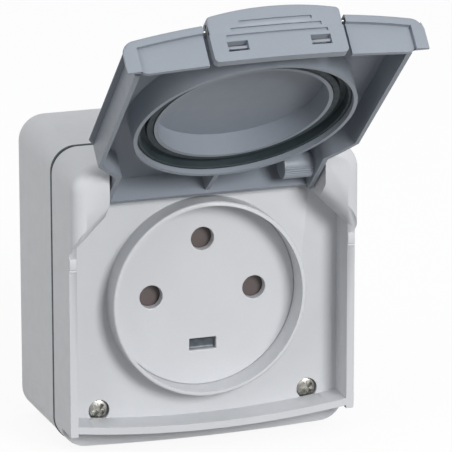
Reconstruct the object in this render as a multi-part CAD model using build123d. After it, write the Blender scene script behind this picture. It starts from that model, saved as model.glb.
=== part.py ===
from build123d import *
import math
import os

# Surface-mounted weatherproof socket with a hinged lid, in millimetres.
# X runs to the right, Y into the wall and Z up. The wall is the plane Y = 0,
# and every depth below counts forwards from the wall.

# Case: the outline that the box and the cover share
case_width = 91.6
case_top = 47.6
case_bottom = -48.0
case_bow = 1.3
case_corner = 8.0
side_draft = 0.8
top_draft = 2.4
bottom_draft = 1.1
case_wall = 2.4
box_depth = 33.0
rear_wall = 2.6

# Wall fixings, cable entry and the box's screw posts
fixing_inset = 19.8
fixing_spacing_z = 72.0
fixing_hole = 4.6
fixing_pad = 9.0
fixing_pad_height = 1.2
entry_depth = 17.0
entry_hole = 20.0
entry_flange = 24.0
entry_recess = 1.4
entry_seat_thickness = 3.0
grommet_lip = 1.2
grommet_bore = 6.0
post_diameter = 8.0
rib_thickness = 1.6

# Seal between box and cover
seal_thickness = 1.0
seal_setback = 0.3

# Front cover
cover_depth = 7.0
panel_thickness = 2.6
rim_height = 9.9
rim_thickness = 2.4
shoulder_rise = 5.1
shoulder_width = 11.29
shoulder_low = 19.5
shoulder_chamfer = 3.7
shoulder_round = 4.0
shoulder_core = 6.0
rim_end = -39.8
lip_low = -41.7
lip_thickness = 2.2
lip_bow = 2.9
hook_width = 9.0
hook_spacing = 44.0
hook_thickness = 1.8
hook_length = 6.0
hook_gap = 0.2

# Collar round the socket face
collar_centre = -1.4
collar_diameter = 61.2
collar_wall = 1.3
collar_height = 7.4
collar_edge = 0.6

# Cover screws
screw_inset = 9.39
screw_height = -35.4
screw_head = 5.8
screw_head_height = 2.1
screw_shank = 3.0
screw_length = 17.0
screw_pocket_gap = 0.4
screw_pocket_depth = 2.4
screw_boss_wall = 1.5
screw_tip_room = 1.0
cross_width = 0.9
cross_length = 3.4
cross_depth = 1.2

# Socket face and its pin pattern, measured from the collar's centre
face_sink = 0.6
face_thickness = 3.0
face_gap = 0.3
face_flange = 3.0
face_stack = 4.4
pin_hole = 7.2
pin_side = 16.35
pin_top = 16.9
slot_drop = 16.4
slot_width = 8.5
slot_height = 3.7

# Contact carrier, contacts and terminals
carrier_diameter = 60.0
carrier_thickness = 14.0
carrier_screw_circle = 48.0
carrier_screw_angle = 45.0
carrier_head = 5.5
carrier_head_height = 2.4
carrier_shank = 3.0
contact_bore = 6.3
contact_wall = 1.3
terminal_length = 9.0
terminal_width = 9.4
terminal_height = 11.5
wire_hole = 3.6
wire_hole_depth = 7.2
terminal_screw = 3.4
terminal_head = 5.2
terminal_head_height = 2.0
terminal_screw_stand = 1.0
earth_wall = 1.1
earth_reach = 3.0

# Shutter and its spring
shutter_margin = 1.5
shutter_thickness = 1.5
shutter_travel = 28.0
shutter_gap = 0.3
shutter_hub = 6.0
shutter_rim_gap = 1.0
earth_window_half_angle = 24.0
spring_wire = 0.6
spring_turn_gap = 0.3
spring_leg = 9.0

# Hinge and lid, modelled closed and then turned to the open angle
hinge_reach = 7.8
hinge_height = 38.7
hinge_pin = 4.0
hinge_pin_seat = 8.0
hinge_pin_chamfer = 0.4
hinge_gap = 0.8
hinge_boss_wall = 1.8
hinge_boss_length = 11.0
lid_open_angle = 132.7
nose_radius = 9.2
trough_gap = 0.5
lid_crown = 8.7
brim_gap = 0.5
brim_thickness = 4.8
lid_wall = 2.5
lid_edge = 1.0
lid_side_round = 3.5
skirt_gap = 1.0
skirt_wall = 1.6
skirt_lift = 3.0
skirt_lip_gap = 0.5
top_wall_lift = 4.4
end_wall_gap = 0.4
end_wall = 1.3
end_wall_lift = 1.0
end_frame = 1.3
end_bead = 2.7
end_column = 4.0
end_column_lift = 4.6
end_corner = 3.0
end_overlap = 0.5
outer_ring_gap = 1.6
outer_ring_lift = 3.2
inner_ring_diameter = 53.4
inner_ring_lift = 6.0
ring_wall = 1.2
disc_sink = 0.9
rib_wall = 1.4
rib_drop = 1.0

# Lid seal: a soft ring with a channel for the collar's edge
seal_edge_lift = 6.3
seal_channel_gap = 0.4
seal_press_gap = 0.3
seal_side_gap = 0.1

# Latch in the middle of the lid's free end
latch_width = 40.0
latch_side_gap = 1.3
latch_lip_gap = 0.6
latch_thickness = 2.7
latch_lift = 1.0
latch_nose = 3.2
latch_front_bow = 2.2
latch_crest = 2.0
latch_flare = 1.1
latch_head = 6.0
latch_head_gap = 1.0
latch_round = 0.8
latch_corner = 1.6
latch_pin_diameter = 1.6
latch_pin_back = 1.6
latch_pin_bite = 4.0
window_width = 6.1
window_depth = 3.1
window_spacing = 24.8
window_lift = 4.5
catch_gap = 0.5
catch_height = 1.1
groove_lengths = (30.4, 27.2, 21.8)
groove_pitch = 2.3
groove_width = 0.9
groove_depth = 0.6
groove_lift = 9.6

# Fits
running_fit = 0.06
seat_fit = 0.03
drop_fit = 0.1
nib = 0.01

# Depths of the main levels
joint_depth = box_depth + seal_thickness
panel_depth = joint_depth + cover_depth
panel_back = panel_depth - panel_thickness
rim_depth = panel_depth + rim_height
shoulder_depth = rim_depth + shoulder_rise
collar_rim = panel_depth + collar_height
face_front = panel_depth - face_sink
carrier_front = panel_back - face_stack
carrier_rear = carrier_front - carrier_thickness
hinge_depth = panel_depth + hinge_reach
brim_back = rim_depth + brim_gap
lid_face = brim_back + brim_thickness
lid_floor = lid_face - lid_wall
skirt_rim = panel_depth + skirt_lift
top_wall_rim = panel_depth + top_wall_lift
end_rim = panel_depth + end_wall_lift
shutter_front = face_front - face_thickness - shutter_gap
shutter_rear = shutter_front - shutter_thickness

# Widths and heights that follow from them
far = 2 * case_width
lid_top = hinge_height + lid_crown
end_inner = lip_low - end_wall_gap
end_panel = end_inner - end_wall
end_outer = end_panel - end_frame
latch_inner = lip_low - latch_lip_gap
latch_outer = latch_inner - latch_thickness
latch_pivot_depth = lid_face - latch_pin_back
latch_head_back = lid_face + latch_nose - latch_head
notch_half = latch_width / 2 + latch_side_gap
collar_radius = collar_diameter / 2
well_radius = collar_radius - collar_wall
outer_ring_radius = collar_radius + outer_ring_gap
inner_ring_radius = inner_ring_diameter / 2
contact_radius = contact_bore / 2 + contact_wall
hub_radius = shutter_hub / 2
shutter_radius = pin_top + pin_hole / 2 + shutter_margin


def case_half(depth):
    """Half the case's width at a depth."""
    return case_width / 2 - depth * math.tan(math.radians(side_draft))


rim_half = case_half(rim_depth)
pocket_half = rim_half - rim_thickness
shoulder_inner = rim_half - shoulder_width
hinge_half = shoulder_inner - hinge_gap
skirt_half = pocket_half - skirt_gap
bow_radius = (pocket_half**2 + lip_bow**2) / (2 * lip_bow)
panel_half = rim_half - end_column


def at_depth(depth):
    """Plane across the case, seen from the front, at a depth."""
    return Plane.XZ.offset(depth)


def prism(face, start, end):
    """Face in X and Z, carried forwards from one depth to another."""
    return extrude(at_depth(start) * face, amount=end - start)


def rod(x, z, radius, start, end):
    """Round bar square to the wall."""
    return prism(Pos(x, z) * Circle(radius), start, end)


def block(width, height, x, z, start, end):
    """Rectangular bar square to the wall."""
    return prism(Pos(x, z) * Rectangle(width, height), start, end)


def cross_rod(depth, z, radius, left, right):
    """Round bar along X."""
    return extrude(Plane.YZ.offset(left) * Pos(-depth, z) * Circle(radius), amount=right - left)


def side_prism(points, left, right):
    """Outline of (depth, height) points, carried along X."""
    face = make_face(Polyline(*[(-depth, z) for depth, z in points], close=True))
    return extrude(Plane.YZ.offset(left) * face, amount=right - left)


def case_outline(depth, inset=0.0):
    """Outline of the case at a depth, with rounded corners and a bowed lower edge."""
    half = case_half(depth) - inset
    top = case_top - depth * math.tan(math.radians(top_draft)) - inset
    low = case_bottom + depth * math.tan(math.radians(bottom_draft)) + inset
    corner = low + case_bow
    sides = Polyline((half, corner), (half, top), (-half, top), (-half, corner))
    lower = ThreePointArc((-half, corner), (0, low), (half, corner))
    face = make_face([sides, lower])
    return fillet(face.vertices(), case_corner - inset)


def case_body(start, end, inset=0.0):
    """Drafted stretch of the case between two depths."""
    sections = [at_depth(depth) * case_outline(depth, inset) for depth in (start, end)]
    return loft(sections)


def bow_rise(x):
    """Rise of the bowed lip and lid end at a distance from the middle."""
    return bow_radius - math.sqrt(bow_radius**2 - x**2)


latch_pivot_height = (end_inner + end_outer) / 2 + bow_rise(notch_half)
skirt_end = lip_low + lip_thickness + bow_rise(skirt_half) + skirt_lip_gap


def bow_arc(mid, left, right):
    """Arc of the bow whose lowest point, at X = 0, has the given height."""
    middle = (left + right) / 2
    return ThreePointArc(*[(x, mid + bow_rise(x)) for x in (left, middle, right)])


def bow_band(upper, lower, left, right):
    """Face between two bowed arcs."""
    top = bow_arc(upper, left, right)
    low = bow_arc(lower, left, right)
    return make_face([top, low, Line(top @ 0, low @ 0), Line(top @ 1, low @ 1)])


def bowed_plan(half, right_points, low_mid):
    """Face symmetric about X = 0: a bowed lower edge, then right-hand points from low to high."""
    right = [(half, low_mid + bow_rise(half))] + right_points
    left = [(-x, z) for x, z in reversed(right)]
    return make_face([Polyline(*right, *left), bow_arc(low_mid, -half, half)])


def lid_plan(half, diagonal_inset, hinge_side, top, low_mid):
    """Lid outline: straight sides, diagonals beside the shoulders and the hinge part between them."""
    reach = pocket_half + shoulder_low - diagonal_inset * math.sqrt(2)
    points = [(half, reach - half), (hinge_side, reach - hinge_side), (hinge_side, top)]
    return bowed_plan(half, points, low_mid)


def open_lid(shape):
    """Closed lid piece, turned about the hinge to the open angle."""
    hinge = Axis((0, -hinge_depth, hinge_height), (-1, 0, 0))
    return shape.rotate(hinge, lid_open_angle)


def screw(head_diameter, head_height, shank_diameter, length):
    """Pan-head cross-recess screw, head up along Z, seated at the origin."""
    head = Cylinder(head_diameter / 2, head_height, align=(Align.CENTER, Align.CENTER, Align.MIN))
    head = fillet(head.edges().group_by(Axis.Z)[-1], head_height / 2)
    shank = Pos(0, 0, -length / 2) * Cylinder(shank_diameter / 2, length)
    recess = Box(cross_width, cross_length, cross_depth) + Box(cross_length, cross_width, cross_depth)
    return head + shank - Pos(0, 0, head_height - cross_depth / 2) * recess


def screw_at(x, z, depth, head_diameter, head_height, shank_diameter, length):
    """Screw that faces the front, its head seated at a depth."""
    return at_depth(depth) * Pos(x, z) * screw(head_diameter, head_height, shank_diameter, length)


def pin_places():
    """Centres of the three round pin holes: left, top and right."""
    return [(-pin_side, collar_centre), (0, collar_centre + pin_top), (pin_side, collar_centre)]


def carrier_screw_places():
    """Centres of the two screws that hold the carrier, across the middle from each other."""
    radius = carrier_screw_circle / 2
    turn = math.radians(carrier_screw_angle)
    x = radius * math.cos(turn)
    z = radius * math.sin(turn)
    return [(x, collar_centre + z), (-x, collar_centre - z)]


def cover_screw_places():
    """Centres of the two cover screws, at the lower corners."""
    return [(side * (pocket_half - screw_inset), screw_height) for side in (-1, 1)]


def entry_seat():
    """Height of the flat seat of the cable grommet, sunk into the bottom wall."""
    return case_bottom + entry_depth * math.tan(math.radians(bottom_draft)) + entry_recess


def upright_rod(radius, low, high):
    """Round bar along Z on the axis of the cable entry."""
    return Pos(0, -entry_depth, (low + high) / 2) * Cylinder(radius, high - low)


def make_back_box():
    """Open box with wall fixings, posts for the screws and a sunk cable entry."""
    body = case_body(0, box_depth) - case_body(rear_wall, box_depth + nib, case_wall)
    inside = case_body(0, box_depth, case_wall / 2)
    seat = entry_seat()
    body += upright_rod(entry_flange / 2 + case_wall, seat, seat + entry_seat_thickness) & inside
    body -= upright_rod(entry_flange / 2 + drop_fit, seat - 2 * case_wall, seat)
    body -= upright_rod(entry_hole / 2 + drop_fit, seat - nib, seat + entry_seat_thickness + nib)
    for x, z in cover_screw_places():
        body += rod(x, z, post_diameter / 2, 0, box_depth)
        rib_length = case_half(box_depth) - case_wall / 2 - abs(x)
        rib_middle = math.copysign(abs(x) + rib_length / 2, x)
        body += block(rib_length, rib_thickness, rib_middle, z, 0, box_depth)
        tip = panel_depth - screw_pocket_depth - screw_length - screw_tip_room
        body -= rod(x, z, screw_shank / 2 + drop_fit, tip, box_depth + nib)
    for x, z in carrier_screw_places():
        body += rod(x, z, post_diameter / 2, 0, carrier_rear)
        body -= rod(x, z, carrier_shank / 2 + drop_fit, rear_wall + screw_tip_room, carrier_rear + nib)
    fixing_x = case_width / 2 - fixing_inset
    for x in (-fixing_x, fixing_x):
        for z in (-fixing_spacing_z / 2, fixing_spacing_z / 2):
            body += rod(x, z, fixing_pad / 2, rear_wall - nib, rear_wall + fixing_pad_height)
            body -= rod(x, z, fixing_hole / 2, -nib, rear_wall + fixing_pad_height + nib)
    return body


def make_cable_grommet():
    """Rubber grommet whose groove holds the rim of the cable entry."""
    seat = entry_seat()
    top = seat + entry_seat_thickness
    body = upright_rod(entry_hole / 2, seat, top)
    body += upright_rod(entry_flange / 2, seat - grommet_lip, seat)
    body += upright_rod(entry_flange / 2 - grommet_lip, top, top + grommet_lip)
    cone = Cone(entry_hole / 2 - grommet_lip, grommet_bore / 2 + grommet_lip, entry_seat_thickness)
    dish = Pos(0, -entry_depth, seat - grommet_lip + entry_seat_thickness / 2) * cone
    return body - dish - upright_rod(grommet_bore / 2, seat - 2 * case_wall, top + 2 * grommet_lip)


def make_box_seal():
    """Flat gasket between the box and the cover."""
    outer = prism(case_outline(box_depth, seal_setback), box_depth, joint_depth)
    return outer - prism(case_outline(box_depth, case_wall), box_depth - nib, joint_depth + nib)


def shoulder_cut(sum_low, sum_high):
    """Everything in front of the rims that isn't a shoulder, with the sloped lower faces."""
    sections = []
    for depth, reach in ((rim_depth, sum_low), (shoulder_depth + nib, sum_high)):
        inner = (shoulder_inner, reach - shoulder_inner)
        points = [(far, -far), (far, reach - far), inner, (shoulder_inner, far)]
        mirrored = [(-x, z) for x, z in reversed(points)]
        sections.append(at_depth(depth) * make_face(Polyline(*points, *mirrored, close=True)))
    return loft(sections, ruled=True)


def make_cover_shell():
    """Cover before its collar: rims, shoulders, panel and bowed lip."""
    body = case_body(joint_depth, shoulder_depth)
    front_edges = body.faces().sort_by(Axis.Y)[0].edges()
    body = fillet(front_edges, shoulder_round)
    reach = pocket_half + shoulder_low
    body -= shoulder_cut(reach, reach + shoulder_chamfer * math.sqrt(2))
    pocket = lid_plan(pocket_half, 0, shoulder_inner, hinge_height, lip_low + lip_thickness)
    body -= prism(pocket, panel_depth, shoulder_depth)
    trough = cross_rod(hinge_depth, hinge_height, nose_radius + trough_gap, -shoulder_inner, shoulder_inner)
    front_gap = block(2 * shoulder_inner, far, 0, hinge_height + far / 2, hinge_depth, shoulder_depth)
    body -= trough + front_gap
    below_lip = bowed_plan(pocket_half, [(pocket_half, 0)], lip_low)
    under = block(far, far, 0, rim_end - far / 2, panel_depth, shoulder_depth)
    gap = bow_band(lip_low, lip_low - lip_thickness * 2, -pocket_half, pocket_half)
    body -= under - prism(below_lip, panel_depth - nib, shoulder_depth + nib)
    body -= prism(gap, panel_depth, shoulder_depth)
    body -= case_body(joint_depth - nib, panel_back, case_wall)
    return body - shoulder_pockets()


def shoulder_pockets():
    """Hollows behind the shoulders, open to the back of the cover."""
    inner = shoulder_inner + case_wall
    outer = case_half(rim_depth) - case_wall
    low = pocket_half + shoulder_low + case_wall * math.sqrt(2)
    top = case_top - case_corner - case_wall
    points = [(inner, low - inner), (outer, low - outer), (outer, top), (inner, top)]
    deep = panel_back + shoulder_core
    right = prism(make_face(Polyline(*points, close=True)), panel_back - nib, deep)
    return right + mirror(right, Plane.YZ)


def catch_places():
    """Centres across of the two catches and the latch windows."""
    return [-window_spacing / 2, window_spacing / 2]


def make_front_cover():
    """Moulded cover with collar, screw pockets, hooks, hinge seats and the latch catches."""
    body = make_cover_shell()
    collar = rod(0, collar_centre, collar_radius, panel_back, collar_rim)
    collar = fillet(collar.edges().sort_by(Axis.Y)[0], collar_edge)
    body += collar
    body -= rod(0, collar_centre, well_radius, panel_back - nib, collar_rim + nib)
    pocket_radius = screw_head / 2 + screw_pocket_gap
    pocket_floor = panel_depth - screw_pocket_depth
    for x, z in cover_screw_places():
        body += rod(x, z, pocket_radius + screw_boss_wall, joint_depth, panel_back + nib)
        body -= rod(x, z, pocket_radius, pocket_floor, panel_depth + nib)
        body -= rod(x, z, screw_shank / 2 + drop_fit, joint_depth - nib, panel_depth)
    hook_top = case_top - box_depth * math.tan(math.radians(top_draft)) - case_wall - hook_gap
    for side in (-1, 1):
        x = side * hook_spacing / 2
        z = hook_top - hook_thickness / 2
        body += block(hook_width, hook_thickness, x, z, joint_depth - hook_length, panel_back + nib)
        left, right = sorted((side * shoulder_inner, side * (shoulder_inner + hinge_pin_seat)))
        body -= cross_rod(hinge_depth, hinge_height, hinge_pin / 2 + seat_fit, left, right)
    window_back = end_rim + window_lift - window_depth / 2
    catch_back = window_back + catch_gap
    catch_front = window_back + window_depth - catch_gap
    for x in catch_places():
        half = window_width / 2 - catch_gap
        face = bow_band(lip_low + nib, lip_low - catch_height, x - half, x + half)
        body += prism(face, catch_back, catch_front)
    return body


def make_cover_screws():
    """The two cross-recess screws in the cover's lower corners."""
    floor = panel_depth - screw_pocket_depth
    return [
        screw_at(x, z, floor, screw_head, screw_head_height, screw_shank, screw_length)
        for x, z in cover_screw_places()
    ]


def make_socket_face():
    """Round face with its pin holes and earth slot, hollow behind for the shutter."""
    flange_radius = well_radius + face_flange
    body = rod(0, collar_centre, flange_radius, carrier_front, panel_back)
    body += rod(0, collar_centre, well_radius - face_gap, panel_back, face_front)
    hollow = shutter_radius + shutter_rim_gap
    body -= rod(0, collar_centre, hollow, carrier_front - nib, shutter_front + shutter_gap)
    for x, z in pin_places():
        body -= rod(x, z, pin_hole / 2, panel_back - face_stack, face_front + nib)
    slot_z = collar_centre - slot_drop
    body -= block(slot_width, slot_height, 0, slot_z, carrier_front, face_front + nib)
    return body


def earth_size():
    """Outer width and height of the earth contact's sleeve."""
    return slot_width + 2 * earth_wall, slot_height + 2 * earth_wall


def make_contact_carrier():
    """Insulating block with seats for the contacts, the shutter's hub and the fixing screws."""
    body = rod(0, collar_centre, carrier_diameter / 2, carrier_rear, carrier_front)
    body += rod(0, collar_centre, hub_radius, carrier_front - nib, shutter_front)
    for x, z in pin_places():
        body -= rod(x, z, contact_radius + drop_fit, carrier_rear - nib, carrier_front + nib)
    width, height = [size + 2 * drop_fit for size in earth_size()]
    slot_z = collar_centre - slot_drop
    body -= block(width, height, 0, slot_z, carrier_rear - nib, carrier_front + nib)
    for x, z in carrier_screw_places():
        body -= rod(x, z, carrier_shank / 2 + drop_fit, carrier_rear - nib, carrier_front + nib)
        head_floor = carrier_front - carrier_head_height - drop_fit
        body -= rod(x, z, carrier_head / 2 + drop_fit, head_floor, carrier_front + nib)
    return body


def make_carrier_screws():
    """The two screws that hold the carrier on the box's posts."""
    seat = carrier_front - carrier_head_height - drop_fit
    length = seat - rear_wall - 2 * screw_tip_room
    return [
        screw_at(x, z, seat, carrier_head, carrier_head_height, carrier_shank, length)
        for x, z in carrier_screw_places()
    ]


def make_terminal(x, z):
    """Terminal block behind the carrier, with its wire hole and the tapped hole for the screw."""
    rear = carrier_rear - terminal_length
    middle = (carrier_rear + rear) / 2
    body = block(terminal_width, terminal_height, x, z, rear, carrier_rear)
    body -= rod(x, z, wire_hole / 2, rear - nib, rear + wire_hole_depth)
    tapped = Cylinder(terminal_screw / 2 + drop_fit, terminal_height)
    return body - Pos(x, -middle, z + terminal_height / 2) * tapped


def make_phase_contact(x, z):
    """Tubular contact that seats on the carrier's rear face, with its terminal block."""
    body = make_terminal(x, z)
    body += rod(x, z, contact_radius, carrier_rear - nib, carrier_front - drop_fit)
    return body - rod(x, z, contact_bore / 2, carrier_rear + nib, carrier_front + nib)


def make_earth_contact():
    """Flat sleeve contact behind the earth slot, with its terminal block."""
    z = collar_centre - slot_drop
    width, height = earth_size()
    front = carrier_front + earth_reach
    body = make_terminal(0, z)
    body += block(width, height, 0, z, carrier_rear - nib, front)
    inner = (slot_width - earth_wall, slot_height - earth_wall)
    return body - block(*inner, 0, z, carrier_rear + earth_wall, front + nib)


def make_terminal_screws():
    """The four clamping screws of the terminals, pointing down into their blocks."""
    middle = carrier_rear - terminal_length / 2
    places = pin_places() + [(0, collar_centre - slot_drop)]
    length = terminal_height / 2 - wire_hole / 2 + terminal_screw_stand
    pieces = []
    for x, z in places:
        seat = Pos(x, -middle, z + terminal_height / 2 + terminal_screw_stand)
        pieces.append(seat * screw(terminal_head, terminal_head_height, terminal_screw, length))
    return pieces


def make_shutter_disc():
    """Turning shutter: its three holes stand one travel away from the pin holes at rest."""
    body = rod(0, collar_centre, shutter_radius, shutter_rear, shutter_front)
    body -= rod(0, collar_centre, hub_radius + running_fit, shutter_rear - nib, shutter_front + nib)
    centre = (0, collar_centre)
    for x, z in pin_places():
        place = (Vector(x, z) - Vector(*centre)).rotate(Axis.Z, -shutter_travel) + Vector(*centre)
        body -= rod(place.X, place.Y, pin_hole / 2, shutter_rear - nib, shutter_front + nib)
    start = -90 - earth_window_half_angle - shutter_travel
    sweep = 2 * earth_window_half_angle + shutter_travel
    turns = [math.radians(start + part * sweep) for part in (0, 0.5, 1)]
    points = [(far * math.cos(turn), far * math.sin(turn)) for turn in turns]
    wedge = make_face(Polyline((0, 0), *points, close=True))
    window = prism(Pos(*centre) * wedge, shutter_rear - nib, shutter_front + nib)
    return body - (window - rod(*centre, shutter_hub, shutter_rear - nib, shutter_front + nib))


def make_shutter_spring():
    """Torsion spring round the hub: a closed turn with one leg held by the carrier's face."""
    inner = hub_radius + spring_turn_gap
    start = carrier_front
    ring = rod(0, collar_centre, inner + spring_wire, start, start + 2 * spring_wire)
    ring -= rod(0, collar_centre, inner, start - nib, start + 2 * spring_wire + nib)
    middle = inner + spring_wire / 2
    leg_z = collar_centre + spring_leg / 2
    return ring + block(spring_wire, spring_leg, -middle, leg_z, start, start + spring_wire)


def make_hinge_pin(side, inside):
    """Stub pin, seated in a shoulder and reaching into the lid."""
    ends = (side * (hinge_half - inside), side * (shoulder_inner + hinge_pin_seat))
    left, right = sorted(ends)
    pin = cross_rod(hinge_depth, hinge_height, hinge_pin / 2, left, right)
    return chamfer(pin.edges().filter_by(GeomType.CIRCLE), hinge_pin_chamfer)


def lid_ring(radius, lift):
    """Ring wall on the lid's floor, concentric with the collar when closed."""
    rim = panel_depth + lift
    wall = rod(0, collar_centre, radius + ring_wall, rim, lid_floor + nib)
    return wall - rod(0, collar_centre, radius, rim - nib, lid_floor + 2 * nib)


def is_side_edge(edge):
    """True for the front edges of the plate at its sides and diagonals."""
    middle = edge.center()
    return middle.Y < -lid_face + nib and abs(middle.X) > hinge_half + nib


def is_end_edge(edge):
    """True for the plate's front edge at the free end."""
    middle = edge.center()
    return middle.Y < -lid_face + nib and middle.Z < rim_end and abs(middle.X) < nib


def make_end_panel():
    """Bowed end wall outside the cover's lip, with round corners on its free edge."""
    half = panel_half + end_overlap
    band = prism(bow_band(end_inner, end_panel, -half, half), end_rim, brim_back + nib)
    corners = band.faces().sort_by(Axis.Y)[-1].edges().filter_by(GeomType.LINE)
    return fillet(corners, end_corner)


def make_end_columns(plate):
    """Ends of the brim, which hang down below the cover's rims."""
    start = panel_depth + end_column_lift
    top = rim_end - end_wall_gap
    body = prism(plate, start, brim_back + nib)
    body &= block(far, far, 0, top - far / 2, start, brim_back + nib)
    return body - block(2 * panel_half, far, 0, top, start - nib, brim_back + 2 * nib)


def make_lid_shell():
    """Lid before its rings: plate with brim, skirt, hinge part and bowed end wall."""
    plate = lid_plan(rim_half, skirt_gap, hinge_half, lid_top, end_outer)
    body = prism(plate, brim_back, lid_face)
    body = fillet(body.edges().filter_by(is_side_edge), lid_side_round)
    body = fillet(body.edges().filter_by(is_end_edge), lid_edge)
    outer = lid_plan(skirt_half, skirt_gap, hinge_half, lid_top, end_inner)
    inner = lid_plan(skirt_half - skirt_wall, skirt_gap + skirt_wall, hinge_half - skirt_wall,
                     lid_top - skirt_wall, end_inner)
    skirt_low = block(far, far, 0, skirt_end - far / 2, skirt_rim - nib, brim_back)
    body += prism(outer, skirt_rim, brim_back + nib) - skirt_low
    body -= prism(inner, skirt_rim - nib, lid_floor)
    return body + make_end_panel() + make_end_columns(plate)


def lid_nose():
    """Limit of the hinge part: round about the hinge above its axis."""
    low = block(far, far, 0, hinge_height - far / 2, 0, far)
    return low + cross_rod(hinge_depth, hinge_height, nose_radius, -far, far)


def make_lid():
    """Lid with its ring walls, hinge bosses, framed end panels and the gap for the latch."""
    body = make_lid_shell() & lid_nose()
    top_wall_cut = block(2 * hinge_half - 2 * skirt_wall, far, 0, hinge_height + far / 2,
                         skirt_rim - nib, top_wall_rim)
    body -= top_wall_cut
    panel = bow_band(end_panel, end_outer - end_frame, -panel_half, panel_half)
    body -= prism(panel, 0, lid_face - end_bead)
    body += lid_ring(outer_ring_radius, outer_ring_lift) & prism(
        lid_plan(skirt_half, skirt_gap, hinge_half, lid_top, end_inner), 0, far)
    body += lid_ring(inner_ring_radius - ring_wall, inner_ring_lift)
    body -= rod(0, collar_centre, inner_ring_radius - ring_wall, lid_floor - nib, lid_floor + disc_sink)
    rib_low = collar_centre + outer_ring_radius
    rib_points = [(lid_floor + nib, rib_low), (lid_floor + nib, lid_top - skirt_wall),
                  (top_wall_rim + rib_drop, lid_top - skirt_wall),
                  (panel_depth + outer_ring_lift + rib_drop, rib_low)]
    body += side_prism(rib_points, -rib_wall / 2, rib_wall / 2) & lid_nose()
    bore = hinge_pin / 2 + running_fit
    boss_end = hinge_half - hinge_boss_length
    body += cross_rod(hinge_depth, hinge_height, bore + hinge_boss_wall, boss_end, hinge_half)
    body -= cross_rod(hinge_depth, hinge_height, bore, boss_end + skirt_wall, far)
    body -= cross_rod(hinge_depth, hinge_height, bore, -far, skirt_wall + drop_fit - hinge_half)
    notch_top = latch_inner + latch_head_gap + latch_crest
    notch = bow_band(notch_top, end_outer - latch_thickness, -notch_half, notch_half)
    body -= prism(notch, 0, far)
    pin_half = notch_half + latch_pin_bite
    pin_seat = latch_pin_diameter / 2 + seat_fit
    return body - cross_rod(latch_pivot_depth, latch_pivot_height, pin_seat, -pin_half, pin_half)


def make_lid_seal():
    """Soft ring between the lid's ring walls, with a channel over the collar's edge."""
    edge = panel_depth + seal_edge_lift
    inner = inner_ring_radius + seal_side_gap
    outer = outer_ring_radius - seal_side_gap
    ring = rod(0, collar_centre, outer, edge, lid_floor)
    ring -= rod(0, collar_centre, inner, edge - nib, lid_floor + nib)
    floor = collar_rim + seal_press_gap
    channel = rod(0, collar_centre, collar_radius + seal_channel_gap, edge - nib, floor)
    channel -= rod(0, collar_centre, well_radius - seal_channel_gap, edge - 2 * nib, floor + nib)
    return ring - channel


def latch_plan(back, front):
    """Column over the latch's plan: straight sides, round corners and a bowed front edge."""
    half = latch_width / 2
    side_front = latch_front_bow - front
    sides = Polyline((-half, side_front), (-half, -back), (half, -back), (half, side_front))
    nose = ThreePointArc((half, side_front), (0, -front), (-half, side_front))
    plan = fillet(make_face([sides, nose]).vertices(), latch_corner)
    return extrude(Plane.XY.offset(latch_outer - far / 2) * plan, amount=far)


def is_latch_head_edge(edge):
    """True for the upper and lower edges of the latch's finger head, round its sides and front."""
    level = abs(edge.end_point().Z - edge.start_point().Z) < latch_flare
    return level and edge.center().Y < -latch_head_back - nib


def make_latch():
    """Rocking tab: finger head, two windows for the catches and three grip grooves."""
    back = panel_depth + latch_lift
    front = latch_head_back + latch_head
    top = latch_inner + latch_crest
    plate = bow_band(latch_inner, latch_outer, -latch_width / 2, latch_width / 2)
    body = prism(plate, back, front)
    head = bow_band(top, latch_outer - latch_flare, -latch_width / 2, latch_width / 2)
    body += prism(head, latch_head_back, front)
    body &= latch_plan(back, front)
    body = fillet(body.edges().filter_by(is_latch_head_edge), latch_round)
    window_back = end_rim + window_lift - window_depth / 2
    window_front = window_back + window_depth
    for x in catch_places():
        body -= block(window_width, far, x, latch_inner, window_back, window_front)
    for index, length in enumerate(groove_lengths):
        start = end_rim + groove_lift + index * groove_pitch
        low = latch_outer - (latch_flare if start > latch_head_back else 0)
        groove = bow_band(low + groove_depth, low - groove_depth, -length / 2, length / 2)
        body -= prism(groove, start, start + groove_width)
    bore = latch_pin_diameter / 2 + running_fit
    return body - cross_rod(latch_pivot_depth, latch_pivot_height, bore, -latch_width, latch_width)


def make_latch_pin():
    """Pivot of the latch, seated in the lid on both sides of the gap."""
    half = notch_half + latch_pin_bite
    return cross_rod(latch_pivot_depth, latch_pivot_height, latch_pin_diameter / 2, -half, half)


def save(name, pieces):
    """Write one node: a single solid, or a group of like solids."""
    shape = pieces
    if isinstance(pieces, list):
        shape = Compound(children=[solid for piece in pieces for solid in piece.solids()])
    export_step(shape, os.path.join("parts", name + ".step"))


def main():
    """Build every piece in place and write it."""
    os.makedirs("parts", exist_ok=True)
    save("back_box", make_back_box())
    save("cable_grommet", make_cable_grommet())
    save("box_seal", make_box_seal())
    save("front_cover", make_front_cover())
    save("cover_screws", make_cover_screws())
    save("socket_face", make_socket_face())
    save("contact_carrier", make_contact_carrier())
    save("carrier_screws", make_carrier_screws())
    for name, (x, z) in zip(("left", "top", "right"), pin_places()):
        save("phase_contact_" + name, make_phase_contact(x, z))
    save("earth_contact", make_earth_contact())
    save("terminal_screws", make_terminal_screws())
    save("shutter_disc", make_shutter_disc())
    save("shutter_spring", make_shutter_spring())
    save("hinge_pin_left", make_hinge_pin(-1, skirt_wall))
    save("hinge_pin_right", make_hinge_pin(1, hinge_boss_length - skirt_wall - drop_fit))
    save("lid", open_lid(make_lid()))
    save("lid_seal", open_lid(make_lid_seal()))
    save("latch", open_lid(make_latch()))
    save("latch_pin", open_lid(make_latch_pin()))


main()
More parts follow.
